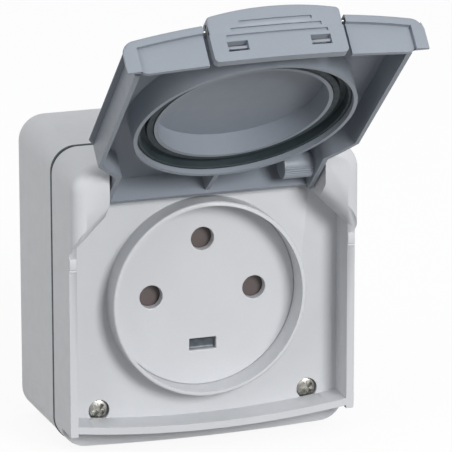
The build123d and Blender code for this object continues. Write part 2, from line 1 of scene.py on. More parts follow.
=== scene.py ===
"""Looks of an outdoor weatherproof socket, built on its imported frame.

Sizes are in millimetres in the fields and in metres in the meshes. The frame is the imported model's own:
+X to the right seen from the front, +Y into the wall, +Z up. A depth counts forwards from the wall.
"""

from __future__ import annotations

import logging
import math
from dataclasses import dataclass
from enum import Enum

import bmesh
import bpy
from mathutils import Matrix, Vector


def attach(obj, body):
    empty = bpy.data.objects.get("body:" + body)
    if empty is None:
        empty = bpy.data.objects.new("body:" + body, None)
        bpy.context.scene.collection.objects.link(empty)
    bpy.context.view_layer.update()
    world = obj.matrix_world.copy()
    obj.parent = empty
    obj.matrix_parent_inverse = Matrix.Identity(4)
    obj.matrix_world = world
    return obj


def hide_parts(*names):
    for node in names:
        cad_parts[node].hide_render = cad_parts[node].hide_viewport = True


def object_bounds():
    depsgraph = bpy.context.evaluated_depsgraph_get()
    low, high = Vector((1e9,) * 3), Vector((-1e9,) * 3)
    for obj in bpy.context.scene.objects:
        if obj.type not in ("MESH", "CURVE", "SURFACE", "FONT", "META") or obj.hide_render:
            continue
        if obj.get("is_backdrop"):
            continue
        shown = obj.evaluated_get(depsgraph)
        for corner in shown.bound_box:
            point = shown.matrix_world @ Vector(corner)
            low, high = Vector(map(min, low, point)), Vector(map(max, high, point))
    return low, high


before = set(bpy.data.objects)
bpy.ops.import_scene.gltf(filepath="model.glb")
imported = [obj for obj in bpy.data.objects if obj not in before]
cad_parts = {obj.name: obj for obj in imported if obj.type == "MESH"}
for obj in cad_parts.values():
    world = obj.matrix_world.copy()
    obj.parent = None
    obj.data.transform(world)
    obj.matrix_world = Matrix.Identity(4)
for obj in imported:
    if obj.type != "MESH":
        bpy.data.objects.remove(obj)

log = logging.getLogger("socket")
MM = 0.001
UNTURNED = Matrix.Identity(4)
SMOOTH_DEG = 40.0
FLOOR_GAP_MM = 0.2
HINGE_DEPTH = 48.8
HINGE_HEIGHT = 38.7
OPEN_DEG = 132.7
COLLAR_HEIGHT = -1.4
NOISE_SPAN = (0.3, 0.7)

Triple = tuple[float, float, float]
Colour = tuple[float, float, float, float]
Knots = tuple[tuple[float, float], ...]
Sock = bpy.types.NodeSocket
Number = float | Sock
Value = float | bool | tuple | Sock

ORIGIN: Triple = (0.0, 0.0, 0.0)
WHITE: Colour = (1.0, 1.0, 1.0, 1.0)


class Body(Enum):
    """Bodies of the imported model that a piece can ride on."""

    HOUSING = "housing"
    LID = "lid"
    LATCH = "latch"


class Slot(Enum):
    """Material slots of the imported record."""

    HOUSING = "housing_grey"
    LID = "lid_grey"
    SEAL = "seal_rubber"
    GROMMET = "grommet_rubber"
    STEEL = "screw_steel"
    CARRIER = "carrier_plastic"
    BRASS = "contact_brass"
    EARTH = "earth_metal"
    SHUTTER = "shutter_plastic"


class Facing(Enum):
    """Which way a screw's head looks, as the turn from straight up."""

    FRONT = (math.pi / 2, 0.0, 0.0)
    UP = (0.0, 0.0, 0.0)


def linear(colour: Triple, gain: float = 1.0) -> Colour:
    """Turn a screen colour into the linear colour that a shader takes.

    Args:
        colour: red, green and blue from 0 to 1, as seen on a screen.
        gain: factor on the linear value.

    Returns:
        Linear red, green, blue and an alpha of 1.
    """
    levels = [c / 12.92 if c <= 0.04045 else ((c + 0.055) / 1.055) ** 2.4 for c in colour]
    return (*[min(1.0, level * gain) for level in levels], 1.0)


def point(x: float, depth: float, z: float) -> Vector:
    """Place in metres, from millimetres across, forwards from the wall and up."""
    return Vector((x, -depth, z)) * MM


def part(value: float, start: float, end: float) -> float:
    """Give how far a value is on its way from start to end, from 0 to 1."""
    return min(1.0, max(0.0, (value - start) / (end - start)))


def opened() -> Matrix:
    """Give the turn about the hinge that takes a place on the shut lid to the open lid."""
    hinge = Matrix.Translation(point(0, HINGE_DEPTH, HINGE_HEIGHT))
    return hinge @ Matrix.Rotation(math.radians(-OPEN_DEG), 4, "X") @ hinge.inverted()


class Graph:
    """Node tree under construction, with short calls to add and join nodes."""

    def __init__(self, tree: bpy.types.NodeTree) -> None:
        """Start from an empty tree."""
        self.tree = tree
        tree.nodes.clear()

    def add(self, kind: str, sockets: dict[str | int, Value] | None = None, **settings: str) -> bpy.types.Node:
        """Add a node.

        Args:
            kind: the node's type name.
            sockets: input name or index, with a constant or the output socket that feeds it.
            settings: attributes of the node itself.

        Returns:
            The new node.
        """
        node = self.tree.nodes.new(kind)
        for name, value in settings.items():
            setattr(node, name, value)
        for name, value in (sockets or {}).items():
            self.feed(node.inputs[name], value)
        return node

    def feed(self, socket: Sock, value: Value) -> None:
        """Link an output into a socket, or set the socket to a constant."""
        if isinstance(value, bpy.types.NodeSocket):
            self.tree.links.new(value, socket)
        else:
            socket.default_value = value

    def calc(self, operation: str, first: Number, second: Number) -> Sock:
        """Give the result of a sum on two numbers."""
        return self.add("ShaderNodeMath", {0: first, 1: second}, operation=operation).outputs[0]

    def seen_white(self) -> Sock:
        """Give 1 for what the camera sees, straight or in a gloss, and 0 for what lights the object."""
        path = self.add("ShaderNodeLightPath").outputs
        seen = self.calc("MAXIMUM", path["Is Camera Ray"], path["Is Glossy Ray"])
        return self.calc("MAXIMUM", seen, path["Is Transmission Ray"])


class ShaderGraph(Graph):
    """Shader tree of one material, with the patterns that several finishes share."""

    def __init__(self, name: str) -> None:
        """Make the material with a shader and its output."""
        self.material = bpy.data.materials.new(name)
        self.material.use_nodes = True
        super().__init__(self.material.node_tree)
        self.shader = self.add("ShaderNodeBsdfPrincipled")
        self.output = self.add("ShaderNodeOutputMaterial", {"Surface": self.shader.outputs["BSDF"]})
        self.place = self.add("ShaderNodeTexCoord").outputs["Object"]

    def dress(self, **inputs: Value) -> bpy.types.Material:
        """Set the shader's inputs, each named with underscores, and give the material."""
        for name, value in inputs.items():
            self.feed(self.shader.inputs[name.replace("_", " ")], value)
        return self.material

    def noise(self, size_mm: float, detail: float = 2.0, stretch: Triple | None = None) -> Sock:
        """Add cloudy noise.

        Args:
            size_mm: width of one cloud.
            detail: how many finer layers lie on it.
            stretch: factors on the three axes, for brushed or drawn patterns.

        Returns:
            The noise's value, about 0.3 to 0.7.
        """
        place = self.place
        if stretch:
            place = self.add("ShaderNodeMapping", {"Vector": place, "Scale": stretch}).outputs["Vector"]
        sockets = {"Vector": place, "Scale": 1.0 / (size_mm * MM), "Detail": detail}
        return self.add("ShaderNodeTexNoise", sockets).outputs[0]

    def spread(self, value: Sock, low: float, high: float) -> Sock:
        """Map the noise's usual span to the given one."""
        least, most = NOISE_SPAN
        sockets = {"Value": value, "From Min": least, "From Max": most, "To Min": low, "To Max": high}
        return self.add("ShaderNodeMapRange", sockets).outputs["Result"]

    def mix(self, factor: Sock, first: Value, second: Value) -> Sock:
        """Mix two colours."""
        node = self.add("ShaderNodeMix", data_type="RGBA")
        self.feed(node.inputs["Factor"], factor)
        colours = [socket for socket in node.inputs if socket.type == "RGBA"]
        for socket, value in zip(colours, (first, second)):
            self.feed(socket, value)
        return next(socket for socket in node.outputs if socket.type == "RGBA")

    def bump(self, height: Sock, depth_mm: float, under: Sock | None = None) -> Sock:
        """Add relief.

        Args:
            height: value from 0 to 1.
            depth_mm: height of the relief.
            under: normal that the relief lies on, if it isn't the surface's own.

        Returns:
            The new normal.
        """
        sockets = {"Height": height, "Distance": depth_mm * MM}
        if under:
            sockets["Normal"] = under
        return self.add("ShaderNodeBump", sockets).outputs["Normal"]


class ShapeGraph(Graph):
    """Geometry tree of one kind of piece, with named inputs for its sizes."""

    def __init__(self, name: str, **sizes: float) -> None:
        """Make the tree with its points, its sizes in metres, counts or turns, and its material.

        Args:
            name: the tree's name.
            sizes: the named inputs, whole numbers for counts.
        """
        super().__init__(bpy.data.node_groups.new(name, "GeometryNodeTree"))
        sides = self.tree.interface
        sides.new_socket("Geometry", in_out="OUTPUT", socket_type="NodeSocketGeometry")
        sides.new_socket("Points", in_out="INPUT", socket_type="NodeSocketGeometry")
        kinds = {int: "NodeSocketInt", float: "NodeSocketFloat"}
        self.sizes = sizes
        self.keys = {
            key: sides.new_socket(key, in_out="INPUT", socket_type=kinds[type(value)]).identifier
            for key, value in sizes.items()
        }
        finish = sides.new_socket("finish", in_out="INPUT", socket_type="NodeSocketMaterial")
        self.keys["finish"] = finish.identifier
        self.given = self.add("NodeGroupInput").outputs

    def vector(self, x: Number = 0.0, y: Number = 0.0, z: Number = 0.0) -> Sock:
        """Put three numbers together."""
        return self.add("ShaderNodeCombineXYZ", {"X": x, "Y": y, "Z": z}).outputs[0]

    def move(self, shape: Sock, place: Sock | Triple = ORIGIN, turn: Triple = ORIGIN) -> Sock:
        """Shift and turn a shape."""
        sockets = {"Geometry": shape, "Translation": place, "Rotation": turn}
        return self.add("GeometryNodeTransform", sockets).outputs[0]

    def join(self, *shapes: Sock) -> Sock:
        """Put several shapes together as they are."""
        node = self.add("GeometryNodeJoinGeometry")
        for shape in shapes:
            self.feed(node.inputs["Geometry"], shape)
        return node.outputs[0]

    def boolean(self, operation: str, shapes: list[Sock], body: Sock | None = None) -> Sock:
        """Intersect shapes, or cut them out of a body.

        Args:
            operation: INTERSECT or DIFFERENCE.
            shapes: the shapes that meet, or that are cut out.
            body: what they are cut out of.

        Returns:
            The shape that is left.
        """
        node = self.add("GeometryNodeMeshBoolean", operation=operation, solver="EXACT")
        for shape in shapes:
            self.feed(node.inputs["Mesh 2"], shape)
        if body:
            self.feed(node.inputs["Mesh 1"], body)
        return node.outputs["Mesh"]

    def bar(self, x: Number, y: Number, z: Number) -> Sock:
        """Make a block of the given sides about the origin."""
        return self.add("GeometryNodeMeshCube", {"Size": self.vector(x, y, z)}).outputs["Mesh"]

    def barrel(self, radius: Number, length: Number, sides: int) -> Sock:
        """Make a round bar along Z about the origin."""
        sockets = {"Vertices": sides, "Radius": radius, "Depth": length}
        return self.add("GeometryNodeMeshCylinder", sockets).outputs["Mesh"]

    def circle(self, radius: Number, steps: int) -> Sock:
        """Make a circle about Z."""
        return self.add("GeometryNodeCurvePrimitiveCircle", {"Resolution": steps, "Radius": radius}).outputs[0]

    def spiral(self, radius: Number, rise: Number, turns: Number, steps: int) -> Sock:
        """Make a helix about Z, with the given number of steps in each turn."""
        sockets = {"Resolution": steps, "Rotations": turns, "Start Radius": radius, "End Radius": radius,
                   "Height": rise}
        return self.add("GeometryNodeCurveSpiral", sockets).outputs[0]

    def wire(self, path: Sock, radius: Number, sides: int = 10) -> Sock:
        """Give a path a round section."""
        sockets = {"Curve": path, "Profile Curve": self.circle(radius, sides), "Fill Caps": True}
        return self.add("GeometryNodeCurveToMesh", sockets).outputs[0]

    def close(self, shape: Sock) -> None:
        """End the tree: smooth the shape, realize what is instanced and set the material."""
        smooth = self.add("GeometryNodeSetShadeSmooth", {"Geometry": shape}).outputs[0]
        real = self.add("GeometryNodeRealizeInstances", {"Geometry": smooth}).outputs[0]
        sockets = {"Geometry": real, "Material": self.given["finish"]}
        self.add("NodeGroupOutput", {0: self.add("GeometryNodeSetMaterial", sockets).outputs[0]})

    def grow(
        self, name: str, finish: bpy.types.Material, points: list[Vector] | None = None
    ) -> bpy.types.Object:
        """Run the tree and keep its result as a plain mesh.

        Args:
            name: the piece's name.
            finish: its material.
            points: places that the tree sets its shapes on.

        Returns:
            The piece, with no modifier left.
        """
        mesh = bpy.data.meshes.new(name)
        mesh.from_pydata(points or [], [], [])
        piece = new_object(name, mesh)
        modifier = piece.modifiers.new("shape", "NODES")
        modifier.node_group = self.tree
        for key, value in {**self.sizes, "finish": finish}.items():
            modifier[self.keys[key]] = value
        settle(piece)
        piece.data.set_sharp_from_angle(angle=math.radians(SMOOTH_DEG))
        return piece


@dataclass(frozen=True)
class MouldedPlastic:
    """Satin moulded plastic with a fine spark-eroded grain, faint flow clouds and a soft waviness."""

    name: str
    colour: Triple
    roughness: float = 0.42
    smoother: float = 0.05
    duller: float = 0.06
    shine: float = 0.4
    drift: float = 0.025
    cloud_mm: float = 18.0
    fleck_mm: float = 0.5
    fleck_share: float = 0.5
    gloss_mm: float = 3.5
    wave_mm: float = 22.0
    wave_depth_mm: float = 0.02
    grain_mm: float = 0.22
    grain_depth_mm: float = 0.004

    def material(self) -> bpy.types.Material:
        """Build the node material."""
        graph = ShaderGraph(self.name)
        cloud = graph.spread(graph.noise(self.cloud_mm, detail=4.0), 0.0, 1.0)
        body = graph.mix(cloud, linear(self.colour, 1 - self.drift), linear(self.colour, 1 + self.drift))
        fleck = graph.spread(graph.noise(self.fleck_mm, detail=3.0), 0.0, self.fleck_share)
        body = graph.mix(fleck, body, linear(self.colour, 1 - 2 * self.drift))
        sheen = graph.noise(self.gloss_mm)
        gloss = graph.spread(sheen, self.roughness - self.smoother, self.roughness + self.duller)
        wave = graph.bump(graph.noise(self.wave_mm, detail=1.0), self.wave_depth_mm)
        grain = graph.bump(graph.noise(self.grain_mm), self.grain_depth_mm, wave)
        return graph.dress(Base_Color=body, Roughness=gloss, Normal=grain, Specular_IOR_Level=self.shine)


@dataclass(frozen=True)
class Rubber:
    """Matt rubber with a pale bloom in patches and a fine pebbled skin."""

    name: str
    colour: Triple
    bloom: Triple
    roughness: float = 0.55
    smoother: float = 0.08
    duller: float = 0.1
    shine: float = 0.3
    bloom_mm: float = 9.0
    bloom_share: float = 0.6
    gloss_mm: float = 2.0
    pebble_mm: float = 0.25
    pebble_depth_mm: float = 0.012

    def material(self) -> bpy.types.Material:
        """Build the node material."""
        graph = ShaderGraph(self.name)
        patch = graph.spread(graph.noise(self.bloom_mm, detail=4.0), 0.0, self.bloom_share)
        sheen = graph.noise(self.gloss_mm)
        gloss = graph.spread(sheen, self.roughness - self.smoother, self.roughness + self.duller)
        skin = graph.bump(graph.noise(self.pebble_mm, detail=3.0), self.pebble_depth_mm)
        colour = graph.mix(patch, linear(self.colour), linear(self.bloom))
        return graph.dress(Base_Color=colour, Roughness=gloss, Normal=skin, Specular_IOR_Level=self.shine)


@dataclass(frozen=True)
class PlatedMetal:
    """Plated metal with drawn lines and dull patches."""

    name: str
    colour: Triple
    dull: Triple
    roughness: float = 0.26
    smoother: float = 0.08
    duller: float = 0.12
    patch_mm: float = 1.6
    line_mm: float = 0.5
    line_stretch: Triple = (1.0, 1.0, 9.0)
    line_depth_mm: float = 0.008

    def material(self) -> bpy.types.Material:
        """Build the node material."""
        graph = ShaderGraph(self.name)
        patch = graph.spread(graph.noise(self.patch_mm, detail=4.0), 0.0, 1.0)
        lines = graph.noise(self.line_mm, detail=3.0, stretch=self.line_stretch)
        gloss = graph.spread(lines, self.roughness - self.smoother, self.roughness + self.duller)
        drawn = graph.bump(lines, self.line_depth_mm)
        colour = graph.mix(patch, linear(self.colour), linear(self.dull))
        return graph.dress(Base_Color=colour, Roughness=gloss, Normal=drawn, Metallic=1.0)


FINISHES = {
    Slot.HOUSING: MouldedPlastic("housing plastic", (0.785, 0.791, 0.803)),
    Slot.LID: MouldedPlastic("lid plastic", (0.55, 0.575, 0.61), shine=0.35, drift=0.03),
    Slot.SEAL: Rubber("seal rubber", (0.15, 0.19, 0.205), (0.21, 0.25, 0.265)),
    Slot.GROMMET: Rubber("grommet rubber", (0.48, 0.49, 0.50), (0.58, 0.59, 0.60), roughness=0.6),
    Slot.STEEL: PlatedMetal("plated steel", (0.68, 0.68, 0.66), (0.52, 0.51, 0.48), roughness=0.32),
    Slot.CARRIER: MouldedPlastic("carrier plastic", (0.86, 0.86, 0.83), roughness=0.5),
    Slot.BRASS: PlatedMetal("contact brass", (0.80, 0.65, 0.36), (0.62, 0.47, 0.24), roughness=0.3),
    Slot.EARTH: PlatedMetal("earth metal", (0.35, 0.37, 0.39), (0.27, 0.29, 0.31), roughness=0.45),
    Slot.SHUTTER: MouldedPlastic("shutter plastic", (0.36, 0.325, 0.32), roughness=0.5, drift=0.08),
}


class Workshop:
    """Makes each finish once and hands out finished pieces."""

    def __init__(self) -> None:
        """Start with no finish made."""
        self.made: dict[Slot, bpy.types.Material] = {}

    def finish(self, slot: Slot) -> bpy.types.Material:
        """Give the material of a slot, built on first use."""
        if slot not in self.made:
            self.made[slot] = FINISHES[slot].material()
        return self.made[slot]

    def mount(self, piece: bpy.types.Object, body: Body, slot: Slot, nodes: tuple[str, ...] = ()) -> None:
        """Finish a piece and put it on its body.

        Args:
            piece: the finished object at the origin.
            body: the body that it moves with.
            slot: its material slot.
            nodes: the solids that it stands for.
        """
        piece.data.materials.clear()
        piece.data.materials.append(self.finish(slot))
        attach(piece, body.value)
        if nodes:
            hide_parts(*nodes)
        log.info("%s rides on %s, %d faces", piece.name, body.value, len(piece.data.polygons))

    def paint(self, node: str, slot: Slot) -> None:
        """Give a solid of the frame its finish."""
        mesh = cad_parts[node].data
        mesh.materials.clear()
        mesh.materials.append(self.finish(slot))
        log.info("%s painted", node)


def new_object(name: str, mesh: bpy.types.Mesh) -> bpy.types.Object:
    """Link a mesh into the scene as an object at the origin."""
    made = bpy.data.objects.new(name, mesh)
    bpy.context.scene.collection.objects.link(made)
    return made


def settle(piece: bpy.types.Object) -> None:
    """Turn an object's modifiers into a plain mesh."""
    graph = bpy.context.evaluated_depsgraph_get()
    graph.update()
    mesh = bpy.data.meshes.new_from_object(piece.evaluated_get(graph))
    piece.modifiers.clear()
    piece.data = mesh


class Form:
    """Finer shape of a moulding whose solid is plain, worked out on the piece as it is with the lid shut.

    Attributes:
        turn: takes a place on the shut piece to its place at rest.
        across_cuts: distances across at which the mesh is cut, so that it can bend there.
        height_cuts: heights at which it is cut.
    """

    turn: Matrix
    across_cuts: tuple[float, ...] = ()
    height_cuts: tuple[float, ...] = ()

    def moved(self, x: float, depth: float, z: float) -> Triple:
        """Give the new place of a point; each form has its own rule."""
        raise NotImplementedError

    def shape(self, work: bmesh.types.BMesh) -> None:
        """Cut a mesh where its form bends, then move its points.

        Args:
            work: the mesh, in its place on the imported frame.
        """
        bmesh.ops.transform(work, matrix=self.turn.inverted(), verts=work.verts)
        planes = [(point(x, 0, 0), (1, 0, 0)) for x in self.across_cuts]
        planes += [(point(0, 0, z), (0, 0, 1)) for z in self.height_cuts]
        for place, normal in planes:
            parts = [*work.verts, *work.edges, *work.faces]
            bmesh.ops.bisect_plane(work, geom=parts, plane_co=place, plane_no=normal)
        for vert in work.verts:
            vert.co = point(*self.moved(vert.co.x / MM, -vert.co.y / MM, vert.co.z / MM))
        bmesh.ops.transform(work, matrix=self.turn, verts=work.verts)


@dataclass
class LidForm(Form):
    """Crowned front, a brim set in from the case's sides, and rounded corners at the free end.

    Attributes:
        half: half of the brim's width.
        skirt: half of the skirt's width.
        flat: half width up to which the sides don't taper.
        brim_back: depth of the brim's back.
        brim: thickness of the solid's brim.
        sink: how far the front's middle lies behind the solid's.
        bow: how much further back the front's sides are.
        end_top: height at which the free end begins.
        end_step: height of the band in which the free end's corners begin.
        corner: radius of the free end's corners.
        foot: depth of the foot of the solid's end columns.
        foot_low: depth of the longer columns' foot.
        foot_reach: how far the columns reach in from the corners.
        setback: how far the brim is set in from the case's sides.
        taper: how far the sides come in at the hinge.
        taper_length: height over which they come in.
        plate_from: how far in front of the brim's back the front plate begins.
        slack: tolerance on a depth.
        cut_gap: how far above the free end the upper cut lies.
    """

    turn: Matrix
    half: float = 45.09
    skirt: float = 41.69
    flat: float = 36.0
    brim_back: float = 51.4
    brim: float = 4.8
    sink: float = 1.0
    bow: float = 3.0
    end_top: float = -40.2
    end_step: float = 0.5
    corner: float = 3.5
    foot: float = 45.6
    foot_low: float = 42.4
    foot_reach: float = 0.6
    setback: float = 1.5
    taper: float = 1.3
    taper_length: float = 62.0
    plate_from: float = 0.2
    slack: float = 0.1
    cut_gap: float = 0.02
    across_cuts: tuple[float, ...] = tuple(range(-42, 43, 4))

    def __post_init__(self) -> None:
        """Cut the end part where its corners begin."""
        self.height_cuts = (self.end_top - self.end_step, self.end_top + self.cut_gap)

    def moved(self, x: float, depth: float, z: float) -> Triple:
        """Give the new place of a point of the shut lid."""
        side = abs(x)
        fall = self.sink + self.bow * (side / self.half) ** 2
        above = depth - self.brim_back
        if z < self.end_top - self.end_step / 2:
            return x, self.end_depth(side, depth, fall), z
        if above > 0:
            depth -= fall * above / self.brim
        along = part(z, self.end_top, self.end_top + self.taper_length)
        inset = self.taper * along * part(side, self.flat, self.skirt)
        if above > -self.slack:
            inset += self.setback * part(side, self.skirt, self.half)
        return math.copysign(side - inset, x), depth, z

    def end_depth(self, side: float, depth: float, fall: float) -> float:
        """Give the new depth of a point of the free end.

        Args:
            side: distance from the middle.
            depth: the point's depth on the solid.
            fall: how far the crowned front lies behind the solid's.

        Returns:
            A depth behind the crowned front and its round corner, or the longer column's foot.
        """
        column = side > self.half - self.corner - self.foot_reach
        if column and abs(depth - self.foot) < self.slack:
            return self.foot_low
        if depth > self.brim_back + self.plate_from:
            return depth - fall
        out = max(0.0, side - self.half + self.corner)
        drop = self.corner - math.sqrt(max(0.0, self.corner**2 - out**2))
        return min(depth, self.brim_back + self.brim - fall - drop)


@dataclass
class LatchForm(Form):
    """Finger head that is shorter and slopes into the plate, with wider grip grooves further down.

    Each knot is a depth on the solid's outer face and the depth that it goes to.

    Attributes:
        head_back: depth of the solid's head at its back.
        share: share of the head's length that is left.
        face_height: height below which a point belongs to the outer face.
        middle_half: half width of the middle, which has all three grooves.
        middle: knots of the middle.
        sides: knots beside it.
        plate_low: height of the plate's outer face in the middle.
        bow_radius: radius of its bow.
        flare: how far the solid's head stands out from the plate.
        flare_end: depth at which the sloping head stands out as far.
        slack: tolerance on a place.
        merge: distance under which points are one.
    """

    LOWER = ((48.2, 48.2), (51.6, 49.2), (52.5, 50.2), (53.4, 50.8), (53.9, 51.2), (54.8, 52.2))

    turn: Matrix
    head_back: float = 53.4
    share: float = 0.767
    face_height: float = -43.56
    middle_half: float = 12.0
    middle: Knots = (*LOWER, (56.2, 53.1), (57.1, 54.1), (57.9, 56.85))
    sides: Knots = (*LOWER, (56.3, 55.62))
    plate_low: float = -45.0
    bow_radius: float = 314.3
    flare: float = 1.1
    flare_end: float = 59.0
    slack: float = 0.05
    merge: float = 0.02

    def shape(self, work: bmesh.types.BMesh) -> None:
        """Move the points, then merge those of the step behind the head, which is flat now."""
        super().shape(work)
        bmesh.ops.remove_doubles(work, verts=work.verts, dist=self.merge * MM)

    def moved(self, x: float, depth: float, z: float) -> Triple:
        """Give the new place of a point of the shut latch."""
        plate = self.plate_low + x * x / (2 * self.bow_radius)
        if z < plate - self.slack and depth > self.head_back - self.slack:
            z += self.flare * (1 - part(depth, self.head_back, self.flare_end))
        knots = self.sides if abs(x) > self.middle_half else self.middle
        if z < self.face_height:
            for (start, low), (end, high) in zip(knots, knots[1:]):
                if start <= depth <= end:
                    return x, low + part(depth, start, end) * (high - low), z
        return x, min(depth, self.head_back + self.share * (depth - self.head_back)), z


@dataclass
class PinForm(Form):
    """Latch pin, thinner and moved back into the crowned end.

    Attributes:
        depth: depth of the solid's axis.
        height: height of the axis.
        back: how far the axis moves back.
        share: share of the diameter that is left.
    """

    turn: Matrix
    depth: float = 54.6
    height: float = -42.68
    back: float = 1.8
    share: float = 0.5

    def moved(self, x: float, depth: float, z: float) -> Triple:
        """Give the new place of a point of the shut lid's pin."""
        place = self.depth - self.back + self.share * (depth - self.depth)
        return x, place, self.height + self.share * (z - self.height)


@dataclass
class RoundForm(Form):
    """Round piece about the collar's middle, with the points of one band of it moved outwards or back.

    Attributes:
        inner: radius at which the band begins.
        outer: radius at which it ends.
        front: depth at which it ends.
        outwards: how far its points move from the middle.
        backwards: how far they move towards the wall.
    """

    turn: Matrix
    inner: float
    outer: float
    front: float = math.inf
    outwards: float = 0.0
    backwards: float = 0.0

    def moved(self, x: float, depth: float, z: float) -> Triple:
        """Give the new place of a point of the band, or the same place outside it."""
        radius = math.hypot(x, z - COLLAR_HEIGHT)
        if not self.inner < radius < self.outer or depth > self.front:
            return x, depth, z
        share = 1 + self.outwards / radius
        return share * x, depth - self.backwards, COLLAR_HEIGHT + share * (z - COLLAR_HEIGHT)


@dataclass
class SealForm(Form):
    """Bead of the box seal, squeezed out to the case's sides.

    Attributes:
        middle_depth: depth of the joint's middle.
        middle_height: height of the case's middle.
        spread: factor on the bead's width and height.
        widen: factor on its depth.
    """

    turn: Matrix
    middle_depth: float = 33.5
    middle_height: float = -0.57
    spread: float = 1.0085
    widen: float = 1.7

    def moved(self, x: float, depth: float, z: float) -> Triple:
        """Give the new place of a point of the seal."""
        height = self.middle_height + self.spread * (z - self.middle_height)
        return self.spread * x, self.middle_depth + self.widen * (depth - self.middle_depth), height


@dataclass
class Moulding:
    """Rounded stand-in for a solid: its faces merged, its form refined and every sharp edge broken."""

    node: str
    body: Body
    slot: Slot
    form: Form | None = None
    edge_mm: float = 0.3
    segments: int = 2
    sharp_deg: float = 55.0
    flat_deg: float = 0.5
    merge_mm: float = 0.002

    def build(self) -> bpy.types.Object:
        """Copy the solid's mesh, merge it, give it its form and round its edges."""
        work = bmesh.new()
        work.from_mesh(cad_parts[self.node].data)
        bmesh.ops.remove_doubles(work, verts=work.verts, dist=self.merge_mm * MM)
        flat = math.radians(self.flat_deg)
        bmesh.ops.dissolve_limit(work, angle_limit=flat, verts=work.verts, edges=work.edges)
        if self.form:
            self.form.shape(work)
        mesh = bpy.data.meshes.new(self.node + "_moulding")
        work.to_mesh(mesh)
        work.free()
        for name in ("custom_normal", "sharp_edge", "sharp_face"):
            if name in mesh.attributes:
                mesh.attributes.remove(mesh.attributes[name])
        mesh.shade_smooth()
        piece = new_object(mesh.name, mesh)
        bevel = piece.modifiers.new("round", "BEVEL")
        bevel.width = self.edge_mm * MM
        bevel.segments = self.segments
        bevel.limit_method = "ANGLE"
        bevel.angle_limit = math.radians(self.sharp_deg)
        bevel.use_clamp_overlap = True
        bevel.harden_normals = True
        settle(piece)
        return piece

    def dress(self, shop: Workshop) -> None:
        """Build the piece and put it in the solid's place."""
        shop.mount(self.build(), self.body, self.slot, (self.node,))


@dataclass
class CrossScrews:
    """Pan-head screws of one kind, with a cross recess, marks between its arms and a thread."""

    node: str
    places: list[Triple]
    head: float
    height: float
    shank: float
    length: float
    facing: Facing = Facing.FRONT
    dome: float = 0.22
    cross_share: float = 0.74
    cross_width: float = 1.15
    cross_depth: float = 1.4
    mark_width: float = 0.3
    mark_depth: float = 0.35
    pitch: float = 0.8
    thread: float = 0.12
    seed: int = 3
    head_sides: int = 48
    ball_sides: int = 64
    shank_sides: int = 24
    thread_steps: int = 16
    thread_sides: int = 4

    def tree(self) -> ShapeGraph:
        """Build the screw's geometry tree.

        Returns:
            A tree that sets one screw, turned at random about its axis, on each point.
        """
        sag = self.dome * self.height
        ball = ((self.head / 2) ** 2 + sag**2) / (2 * sag)
        graph = ShapeGraph(
            self.node, head=self.head * MM, height=self.height * MM, shank=self.shank * MM,
            length=self.length * MM, ball=ball * MM, cross=self.head * self.cross_share * MM,
            width=self.cross_width * MM, depth=self.cross_depth * MM, mark=self.mark_width * MM,
            mark_depth=self.mark_depth * MM, thread=self.thread * MM, turns=self.length / self.pitch,
            seed=self.seed,
        )
        screw = graph.join(self.driven_head(graph), *self.threaded_shank(graph))
        sockets = {"Points": graph.given["Points"], "Instance": screw, "Rotation": self.facing.value}
        set_on = graph.add("GeometryNodeInstanceOnPoints", sockets).outputs[0]
        chance = graph.add("FunctionNodeRandomValue", {"Seed": graph.given["seed"]}, data_type="FLOAT")
        turn = graph.add("FunctionNodeEulerToRotation", {0: graph.vector(z=chance.outputs[1])}).outputs[0]
        turned = graph.add("GeometryNodeRotateInstances", {"Instances": set_on, "Rotation": turn})
        graph.close(turned.outputs[0])
        return graph

    def driven_head(self, graph: ShapeGraph) -> Sock:
        """Make the domed head with its cross and marks, seated at the origin."""
        given = graph.given
        disc = graph.barrel(graph.calc("MULTIPLY", given["head"], 0.5), given["height"], self.head_sides)
        disc = graph.move(disc, graph.vector(z=graph.calc("MULTIPLY", given["height"], 0.5)))
        sockets = {"Segments": self.ball_sides, "Rings": self.ball_sides, "Radius": given["ball"]}
        dome = graph.add("GeometryNodeMeshUVSphere", sockets).outputs["Mesh"]
        dome = graph.move(dome, graph.vector(z=graph.calc("SUBTRACT", given["height"], given["ball"])))
        deep = graph.calc("MULTIPLY", given["depth"], 2.0)
        shallow = graph.calc("MULTIPLY", given["mark_depth"], 2.0)
        top = graph.vector(z=given["height"])
        mark = graph.bar(given["mark"], given["cross"], shallow)
        cuts = [
            graph.move(graph.bar(given["width"], given["cross"], deep), top),
            graph.move(graph.bar(given["cross"], given["width"], deep), top),
            graph.move(mark, top, (0, 0, math.pi / 4)),
            graph.move(mark, top, (0, 0, -math.pi / 4)),
        ]
        return graph.boolean("DIFFERENCE", cuts, graph.boolean("INTERSECT", [disc, dome]))

    def threaded_shank(self, graph: ShapeGraph) -> tuple[Sock, Sock]:
        """Make the shank's core and its thread, below the origin."""
        given = graph.given
        core = graph.calc("SUBTRACT", graph.calc("MULTIPLY", given["shank"], 0.5), given["thread"])
        half_down = graph.calc("MULTIPLY", given["length"], -0.5)
        down = graph.calc("MULTIPLY", half_down, 2.0)
        bar = graph.move(graph.barrel(core, given["length"], self.shank_sides), graph.vector(z=half_down))
        path = graph.spiral(core, given["length"], given["turns"], self.thread_steps)
        thread = graph.wire(path, given["thread"], self.thread_sides)
        return bar, graph.move(thread, graph.vector(z=down))

    def dress(self, shop: Workshop) -> None:
        """Build the screws and put them in the solids' place."""
        seats = [point(*place) for place in self.places]
        piece = self.tree().grow(self.node + "_driven", shop.finish(Slot.STEEL), seats)
        shop.mount(piece, Body.HOUSING, Slot.STEEL, (self.node,))


